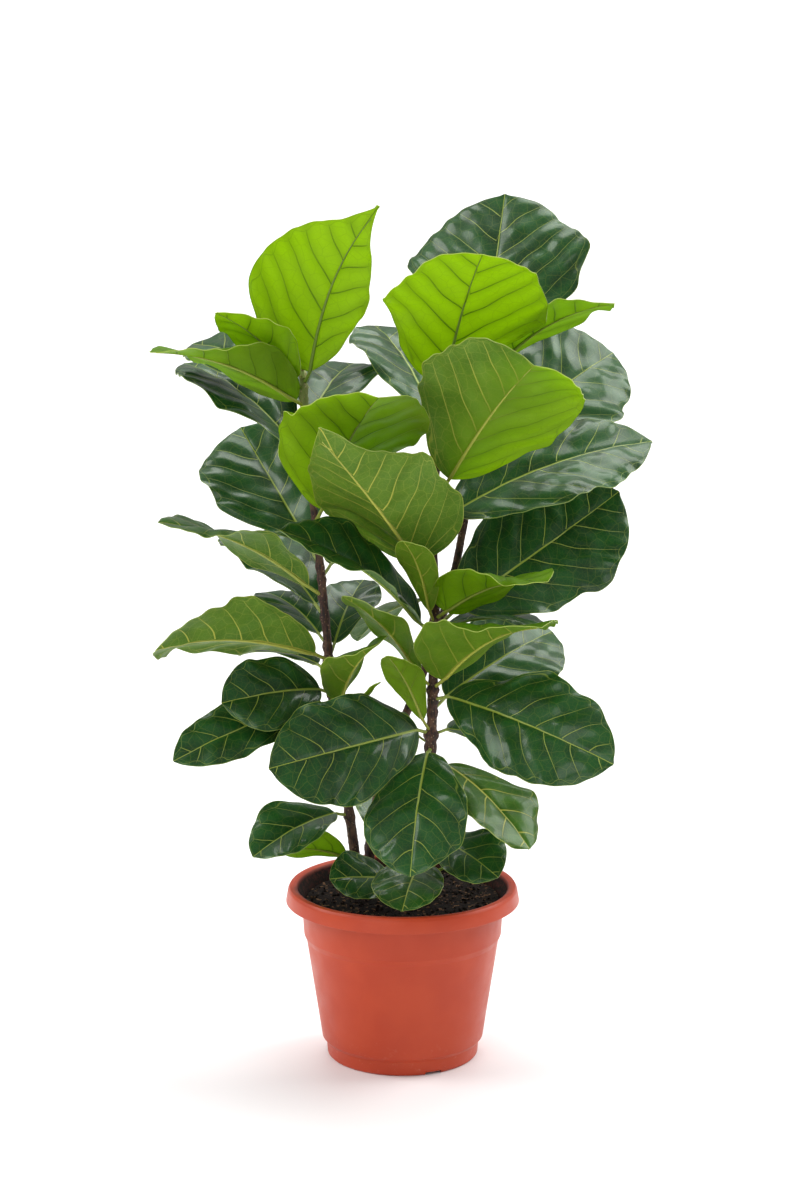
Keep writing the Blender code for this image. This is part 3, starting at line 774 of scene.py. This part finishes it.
# %% Build the leaves
count = 0
for name, shape in SHAPES.items():
    bm = build_blade(shape)
    add_rib(bm, shape)
    count += len(bm.faces)
    finished(bm, f"{name}_blade", [UPPER, UNDER, MARGIN, STALK],
             name)
print(len(SHAPES), "leaves,", count, "faces")

# %% [markdown]
# ## Stems
# The stems are young wood: reddish-brown bark, wrinkled lengthwise, with a ring-shaped scar and a
# swelling at each node where a leaf grows or has fallen. The bark is a noise stretched along the
# stem, dotted with pale pores, and the newest wood at the top is still green.

# %% Bark material
FIBRE_MM = 2.2
PORES_PER_METRE = 260.0  # one about every 4 mm
BARK, node = new_material("fig_bark_young")
place = node("TexCoord", out="Object")
stretched = node("Mapping", {"Vector": place, "Scale": (1.0, 1.0, 0.22)})
fibre = node("TexNoise", stretched, 1000 / FIBRE_MM, 5.0, 0.6)
patches = node("TexNoise", place, 1000 / 12, 3.0)
height = node("SeparateXYZ", place, out="Z")
pores = node("TexVoronoi", place, PORES_PER_METRE)
pores = node("MapRange", pores, 0.28, 0.16)
wood = node("Mix", node("MapRange", fibre, 0.38, 0.66), colour("#1e100c"), colour("#553325"))
for mask, code in ((node("MapRange", patches, 0.5, 0.7, 0.0, 0.5), "#6d4f3b"),
                   (node("MapRange", height, 0.66, 0.78, 0.0, 0.85), "#6f7d3c"),
                   (node("Math.MULTIPLY", pores, 0.55), "#a08468")):
    wood = node("Mix", mask, wood, colour(code))
relief = node("Math.MULTIPLY_ADD", pores, 0.5, fibre)
bump = node("Bump", {"Strength": 0.8, "Distance": 0.0012, "Height": relief})
node("OutputMaterial", node("BsdfPrincipled", {"Base Color": wood, "Roughness": 0.72, "Normal": bump}))
print("bark:", BARK.name, "with fibres", FIBRE_MM, "mm wide")

# %% [markdown]
# A curve with a bevel would give a clean pipe. A grid is rolled round the stem's line instead, and
# each vertex moves in or out, so that every node swells on the side where its leaf grows.

# %% Build the stems
STEM_ROWS, STEM_SIDES = 260, 24
STEM_FOOT = SOIL_LEVEL - 0.040
NODE_RING, NODE_BUMP = 0.0007, 0.0014  # the swelling all round a node, and more under its leaf
RING_HEIGHT = 0.00035
WRINKLE_HEIGHT = 0.0006
FLARE = 0.0022  # how much the stem spreads where it enters the soil


def bark_height(height, turn, nodes):
    """How far the bark stands out at a height and a turn round the stem."""
    swell = 0.0
    for node_height, heading in nodes:
        near = math.exp(-((height - node_height + 0.002) / 0.0045) ** 2)
        facing = 0.5 + 0.5 * math.cos(turn - heading)
        swell += near * (NODE_RING + NODE_BUMP * facing ** 2)
    ring = math.sin(height * 520 + 2 * math.sin(height * 60)) ** 8 * RING_HEIGHT
    folds = noise.noise(Vector((math.cos(turn) * 2.2, math.sin(turn) * 2.2, height * 70)))
    flare = FLARE * math.exp(-max(0.0, height - SOIL_LEVEL) / 0.007)
    return swell + ring + folds * WRINKLE_HEIGHT + flare


def build_stem(stem):
    """A stem from under the soil to its growing tip."""
    nodes = [(shape.leaf.height, math.radians(shape.leaf.heading))
             for shape in SHAPES.values() if shape.stem is stem]
    bm = bmesh.new()
    bmesh.ops.create_grid(bm, x_segments=STEM_ROWS, y_segments=STEM_SIDES, size=1.0)
    top = stem.points[-1][2]
    for vert in bm.verts:
        height = STEM_FOOT + (top - STEM_FOOT) * (vert.co.x + 1) / 2
        turn = math.pi * (vert.co.y + 1)
        centre, radius = Vector((*stem.points[0][:2], height)), stem.foot_radius
        if height > stem.points[0][2]:
            centre, radius = stem_at(stem, height)
        out = radius * 0.94 + bark_height(height, turn, nodes)
        vert.co = centre + out * Vector((math.cos(turn), math.sin(turn), 0.0))
    close_tube(bm)
    return finished(bm, f"stem_{stem.name}_bark", [BARK], f"stem_{stem.name}")


for stem in STEMS.values():
    build_stem(stem)
print("stems of", STEM_ROWS * STEM_SIDES, "quads each")

# %% [markdown]
# ## Growing tips
# Each stem ends in a pointed bud, wrapped in two papery scales that dry to brown at the tip. Their
# colour is streaked lengthwise, like a dry husk.

# %% Bud material
STREAK_MM = 1.5
BUD, node = new_material("bud_scale_papery")
place = node("TexCoord", out="Object")
along = node("Mapping", {"Vector": place, "Scale": (1.0, 1.0, 0.15)})
streaks = node("TexNoise", along, 1000 / STREAK_MM, 4.0)
green = node("Mix", streaks, colour("#8e9c52"), colour("#c3c98c"))
dry = node("TexNoise", place, 1000 / 4, 4.0)
dry = node("MapRange", dry, 0.48, 0.6, 0.0, 0.7)
husk = node("Mix", dry, green, colour("#7a5230"))
ridges = node("TexNoise", along, 1000 / 1.2, 4.0)
bump = node("Bump", {"Strength": 0.5, "Distance": 0.0006, "Height": ridges})
node("OutputMaterial", node("BsdfPrincipled", {"Base Color": husk, "Roughness": 0.5, "Normal": bump}))
print("bud:", BUD.name)

# %% [markdown]
# The bud could be turned from a profile, but it isn't quite round: it is pinched between its two
# scales and twisted a little. So it is one more rolled grid, which is then set on the stem's top
# and pointed the way the stem grows.

# %% Build the buds
BUD_LENGTH = 0.0222
BUD_ROOT = 0.001  # how far the bud sits down in the stem
BUD_TIP = 0.0002  # its radius at the point


def bud_radius(share, turn, foot):
    """The bud's radius at a share of its length and a turn round it."""
    outline = (1 - share ** 1.6) * (1 + 0.28 * math.sin(math.pi * share ** 0.6))
    pinch = 1 + 0.10 * math.cos(2 * turn + 2.5 * share) + 0.05 * math.sin(9 * turn)
    return (foot * outline + BUD_TIP) * pinch


for stem in STEMS.values():
    tip = smooth_point(stem.points, 1.0)
    axis = (tip - smooth_point(stem.points, 0.98)).normalized()
    turn_to = axis.to_track_quat("Z", "Y").to_matrix().to_4x4()
    bm = bmesh.new()
    bmesh.ops.create_grid(bm, x_segments=40, y_segments=28, size=1.0)
    for vert in bm.verts:
        share, turn = (vert.co.x + 1) / 2, math.pi * (vert.co.y + 1)
        radius = bud_radius(share, turn, stem.top_radius)
        vert.co = (radius * math.cos(turn), radius * math.sin(turn), BUD_LENGTH * share - BUD_ROOT)
    close_tube(bm)
    bmesh.ops.transform(bm, verts=bm.verts, matrix=Matrix.Translation(tip) @ turn_to)
    finished(bm, f"bud_{stem.name}_scales", [BUD], f"bud_{stem.name}")
print("three buds,", round(1000 * BUD_LENGTH), "mm long")

# %% [markdown]
# ## Pot
# The pot is injection moulded from terracotta-coloured polypropylene, which gives an even satin
# skin with a very fine grain. Its colour hardly varies, but real use leaves pale scuffs and some
# dust near the foot. The inside wall under the rim is made near-black and matt, with no gloss.

# %% Pot material
DARK_INSIDE_RADII = (0.1225, 0.1185)  # the inside wall is darkened between these radii, under the rim
POT, node = new_material("polypropylene_terracotta")
place = node("TexCoord", out="Object")
height = node("SeparateXYZ", place, out="Z")
flow = node("TexNoise", place, 1000 / 60, 3.0)
body = node("Mix", node("MapRange", flow, 0.35, 0.65), colour("#af3b1c"), colour("#b64120"))
dust = node("TexNoise", place, 1000 / 9, 6.0, 0.7)
dust = node("MapRange", dust, 0.55, 0.75)
low = node("MapRange", height, 0.06, 0.0, 0.0, 0.35)
dust = node("Math.MULTIPLY", dust, low)
scuff = node("TexNoise", place, 1000 / 1.6, 4.0, 0.7)
scuff = node("MapRange", scuff, 0.62, 0.74, 0.0, 0.18)

# The inside is where the surface faces the axis: across and normal point opposite ways.
across = node("VectorMath.MULTIPLY", place, (1.0, 1.0, 0.0))
radius = node("VectorMath.LENGTH", across)
normal = node("NewGeometry", out="Normal")
facing = node("VectorMath.DOT_PRODUCT", across, normal)
# The inside wall under the rim is made near-black and matt.
dark_inside = node("TexNoise", place, 1000 / 6, 5.0, 0.7)
dark_inside = node("MapRange", dark_inside, 0.25, 0.6, 0.85, 1.0)
for value, *limits in ((radius, *DARK_INSIDE_RADII), (facing, 0.0, -0.02)):
    inside = node("MapRange", value, *limits)
    dark_inside = node("Math.MULTIPLY", dark_inside, inside)
for mask, code in ((dust, "#cf8a72"), (scuff, "#d0694e"), (dark_inside, "#140b07")):
    body = node("Mix", mask, body, colour(code))

grain = node("TexNoise", place, 1000 / 0.9, 2.0)
bump = node("Bump", {"Strength": 0.2, "Distance": 0.0003, "Height": grain})
satin = node("TexNoise", place, 1000 / 20, 4.0)
satin = node("MapRange", satin, 0.3, 0.7, 0.36, 0.46)
rough = node("Math.MAXIMUM", satin, dark_inside)
node("OutputMaterial", node("BsdfPrincipled", {
    "Base Color": body, "Roughness": rough, "IOR": 1.49, "Specular IOR Level": 0.35,
    "Normal": bump}))
print("pot:", POT.name)

# %% [markdown]
# The pot has a thin tapered wall, a rolled rim that hides its own thickness and a step above the
# foot. All of that is round, so half a section is drawn once and spun, which is surer than
# stretching a cylinder ring by ring.

# %% Pot section
POT_HEIGHT = 0.200
WALL = 0.0025
SKIRT_RADIUS = 0.0865
RIM_RADIUS = 0.1335
RIM_DEPTH = 0.018
FLOOR_TOP = 0.007
POT_STEPS = 144


def pot_profile():
    """(radius, height) points of the section, from the underside's centre round the rim and back."""
    under, rim_foot, top = 0.004, POT_HEIGHT - RIM_DEPTH, POT_HEIGHT
    skirt, rim = SKIRT_RADIUS, RIM_RADIUS
    return [
        (0.0, 0.0), (0.015, 0.0), (0.015, under), (skirt - 0.0055, under),
        (skirt - 0.0055, 0.0), (skirt - 0.002, 0.0), (skirt, 0.002),
        (0.0878, 0.0170), (0.0925, 0.0220), (0.1100, 0.1370), (0.1130, 0.1440),
        (0.1155, rim_foot + 0.002), (0.1175, top - 0.010), (0.1225, top - 0.004),
        (0.1265, top - 0.004), (rim - WALL, rim_foot), (rim, rim_foot),
        (rim - 0.0025, top - 0.004), (rim - 0.0045, top - 0.0005),
        (0.1245, top), (0.1210, top - 0.0015), (0.1145, top - 0.013),
        (0.1155 - WALL, rim_foot), (0.1130 - WALL, 0.1445), (0.1100 - WALL, 0.1370),
        (0.0925 - WALL, 0.0225), (0.0878 - WALL, 0.0175), (skirt - WALL, FLOOR_TOP),
        (0.0, FLOOR_TOP),
    ]


def spun(profile, steps):
    """A closed solid turned about Z."""
    bm = bmesh.new()
    verts = [bm.verts.new((r, 0.0, z)) for r, z in profile]
    edges = [bm.edges.new(pair) for pair in zip(verts, verts[1:])]
    bmesh.ops.spin(bm, geom=verts + edges, cent=(0, 0, 0), axis=(0, 0, 1),
                   angle=2 * math.pi, steps=steps, use_merge=True)
    bmesh.ops.remove_doubles(bm, verts=bm.verts, dist=1e-6)
    bmesh.ops.recalc_face_normals(bm, faces=bm.faces)
    return bm


print("a section of", len(pot_profile()), "points, spun in", POT_STEPS, "steps")

# %% [markdown]
# No moulded corner is sharp, and the small radius is what catches the light, so the round edges are
# bevelled. Water leaves through six holes in the base and three slots in the foot. They are cut
# last with one Boolean, because a bevel goes wrong on the short edges that a cut leaves.

# %% Build the pot
CORNER_RADIUS = 0.0007
CORNER_ANGLE = math.radians(14)
DRAIN_HOLES, DRAIN_RADIUS, DRAIN_RING = 6, 0.006, 0.055
FOOT_SLOTS, FIRST_SLOT = 3, math.radians(-66.0)
SLOT_SIZE = (0.014, 0.020, 0.007)


def cut(body, tool):
    """body's mesh with tool subtracted, as a bmesh; both helpers are removed."""
    modifier = body.modifiers.new("cut", "BOOLEAN")
    modifier.operation, modifier.solver, modifier.object = "DIFFERENCE", "EXACT", tool
    result = bmesh.new()
    result.from_object(body, bpy.context.evaluated_depsgraph_get())
    for helper in (body, tool):
        bpy.data.objects.remove(helper)
    return result


bm = spun(pot_profile(), POT_STEPS)
corners = [e for e in bm.edges if len(e.link_faces) == 2 and e.calc_face_angle() > CORNER_ANGLE
           and abs(e.verts[0].co.z - e.verts[1].co.z) < 1e-7]
bmesh.ops.bevel(bm, geom=corners, offset=CORNER_RADIUS, segments=3, profile=0.5, affect="EDGES",
                material=-1, clamp_overlap=True)
blank = new_object(bm, "pot_blank")
bm = bmesh.new()
for i in range(DRAIN_HOLES):
    turn = 2 * math.pi * i / DRAIN_HOLES
    centre = Matrix.Translation((DRAIN_RING * math.cos(turn), DRAIN_RING * math.sin(turn), 0.005))
    bmesh.ops.create_cone(bm, cap_ends=True, segments=32, radius1=DRAIN_RADIUS,
                          radius2=DRAIN_RADIUS, depth=0.02, matrix=centre)
for i in range(FOOT_SLOTS):
    turn = Matrix.Rotation(FIRST_SLOT + 2 * math.pi * i / FOOT_SLOTS, 4, "Z")
    box = bmesh.ops.create_cube(bm, size=1.0)["verts"]
    bmesh.ops.scale(bm, verts=box, vec=SLOT_SIZE)
    bmesh.ops.transform(bm, verts=box, matrix=turn @ Matrix.Translation((SKIRT_RADIUS - 0.003, 0, 0)))
pot = finished(cut(blank, new_object(bm, "pot_holes")), "pot_moulding", [POT], "pot", 30)
print("pot of", len(pot.data.polygons), "faces")

# %% [markdown]
# ## Soil
# Potting mix is dark, matt fibre with paler chips of bark in it. Soil reflects almost nothing, so
# its gloss is turned down, and a strong bump gives the fibres that are too fine to model.

# %% Soil material
CRUMB_MM = 3
CHIPS_PER_METRE = 330.0  # only a few of them are pale
SOIL, node = new_material("potting_mix_peat")
place = node("TexCoord", out="Object")
crumbs = node("TexNoise", place, 1000 / CRUMB_MM, 6.0, 0.7)
peat = node("Mix", node("MapRange", crumbs, 0.4, 0.62), colour("#070403"), colour("#1f130c"))
chips = node("TexVoronoi", place, CHIPS_PER_METRE, out="Color")
chips = node("MapRange", node("SeparateColor", chips), 0.86, 0.95, 0.0, 0.6)
peat = node("Mix", chips, peat, colour("#7a5a40"))
fibres = node("TexNoise", place, 1000 / 2.5, 6.0, 0.7)
bump = node("Bump", {"Strength": 0.9, "Distance": 0.002, "Height": fibres})
node("OutputMaterial", node("BsdfPrincipled", {
    "Base Color": peat, "Roughness": 1.0, "Specular IOR Level": 0.2, "Normal": bump}))
print("soil:", SOIL.name)

# %% [markdown]
# A spun plug of soil gets a lumpy top from three sizes of noise. A particle system could scatter
# crumbs on it, but they have to be part of the mesh, so a loop places several hundred small rough
# pebbles of only a few faces each, which break the surface's outline.

# %% Build the soil
SOIL_RINGS = 26
SOIL_STEPS = 120
SOIL_CROWN = 0.0012  # how much higher the middle is than the edge
LUMPS = ((60, 0.0016), (190, 0.0012), (420, 0.0008))  # lumps in a metre, and their height
CRUMBS = 700

soil_low, soil_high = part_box("soil")
soil_radius = (soil_high.x - soil_low.x) / 2
profile = [(0.0, 0.170), (0.1095, 0.170), (soil_radius, SOIL_LEVEL - 0.004)]
profile += [(soil_radius * (1 - i / SOIL_RINGS), SOIL_LEVEL + SOIL_CROWN * i / SOIL_RINGS)
            for i in range(SOIL_RINGS + 1)]
bm = spun(profile, SOIL_STEPS)
for vert in bm.verts:
    if vert.co.z > SOIL_LEVEL - 0.001:
        spot = Vector((vert.co.x, vert.co.y, 0.0))
        vert.co.z += sum(height * noise.noise(spot * often) for often, height in LUMPS)
random.seed(11)
for _ in range(CRUMBS):
    around, out = random.uniform(0, 2 * math.pi), soil_radius * 0.96 * math.sqrt(random.random())
    size = random.uniform(0.0008, 0.0028) * random.uniform(0.5, 1.0)
    spot = Vector((out * math.cos(around), out * math.sin(around), SOIL_LEVEL + 0.0008))
    turn = Matrix.Rotation(random.uniform(0, 6.28), 4, Vector((random.random(), random.random(), 1)))
    stretch = Matrix.Diagonal((random.uniform(0.8, 1.9), 1.0, random.uniform(0.4, 0.9), 1.0))
    lump = bmesh.ops.create_icosphere(bm, subdivisions=1, radius=size,
                                      matrix=Matrix.Translation(spot) @ turn @ stretch)["verts"]
    for vert in lump:
        vert.co += (vert.co - spot) * random.uniform(-0.25, 0.25)
finished(bm, "soil_peat", [SOIL], "soil", 60)
print(CRUMBS, "crumbs")

# %% [markdown]
# ## Floor, light and camera
# The floor is a sheet of white studio paper that runs to the horizon, so its edge never shows. A
# plain grid is enough for it, and it is marked as part of the stage, not of the plant.

# %% Floor
FLOOR_REACH = 3000.0
FLOOR_SHEET, node = new_material("studio_paper_white")
mottle = node("TexNoise", node("TexCoord", out="Object"), 1000 / 400, 2.0)
paper = node("Mix", mottle, colour("#f1f0f0"), colour("#f4f3f3"))
node("OutputMaterial", node("BsdfPrincipled", {"Base Color": paper, "Roughness": 0.55}))
bm = bmesh.new()
bmesh.ops.create_grid(bm, x_segments=4, y_segments=4, size=FLOOR_REACH)
floor = new_object(bm, "studio_floor")
floor.data.materials.append(FLOOR_SHEET)
floor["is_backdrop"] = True
print("floor:", FLOOR_SHEET.name)

# %% [markdown]
# Soft studio light comes from large lamps and a pale sky. Area lamps would do, but they light the
# near floor more than the far one. A sun whose disc is very wide casts the same soft shadow and
# lights the whole floor evenly. A weak one stands in front, one on each side shapes the leaves, and
# a strong one behind and above makes the young leaves glow.

# %% Lights
SKY_STRENGTH = 0.42
AIM = Vector((0.0, 0.0, 0.55))
SOFTBOXES = {  # place in metres, strength, and the width of the disc in degrees
    "softbox_front": ((-1.2, -2.4, 1.7), 0.6, 34),
    "softbox_left": ((-2.2, 0.1, 2.4), 1.5, 32),
    "softbox_right": ((2.2, 0.7, 2.6), 2.0, 38),
    "softbox_behind": ((0.1, 1.0, 3.0), 1.9, 42),
}
world = bpy.data.worlds.new("studio_air")
world.use_nodes = True
sky = world.node_tree.nodes["Background"]
sky.inputs["Color"].default_value = colour("#ffffff")
sky.inputs["Strength"].default_value = SKY_STRENGTH
scene.world = world
for name, (place, strength, spread) in SOFTBOXES.items():
    data = bpy.data.lights.new(name, "SUN")
    data.energy = strength
    data.angle = math.radians(spread)
    lamp = bpy.data.objects.new(name, data)
    lamp.location = place
    lamp.rotation_euler = (AIM - Vector(place)).to_track_quat("-Z", "Y").to_euler()
    scene.collection.objects.link(lamp)
print(len(SOFTBOXES), "softboxes and a sky of strength", SKY_STRENGTH)

# %% [markdown]
# A long lens from a few metres away keeps the plant's proportions true, as in a catalogue. The
# camera stands above the pot and looks slightly down. The Standard view keeps the colours as the
# materials give them.

# %% Camera
LENS_MM, SENSOR_MM = 90.0, 36.0
LOOK_DOWN = 11.45  # degrees
lens = bpy.data.cameras.new("camera")
lens.lens = LENS_MM
lens.sensor_width = SENSOR_MM
lens.sensor_fit = "AUTO"
camera = bpy.data.objects.new("camera", lens)
camera.location = (-0.003, -3.3, 1.2)
camera.rotation_euler = (math.radians(90 - LOOK_DOWN), 0.0, 0.0)
scene.collection.objects.link(camera)
scene.camera = camera
scene.view_settings.view_transform = "Standard"
print("camera with a", LENS_MM, "mm lens, looking", LOOK_DOWN, "degrees down")

# %% Sizes and finish
made_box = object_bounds()
grown = [[round(1000 * (b - a), 1) for a, b in zip(x, y)] for x, y in zip(cad_box, made_box)]
print("grown by", grown, "mm")
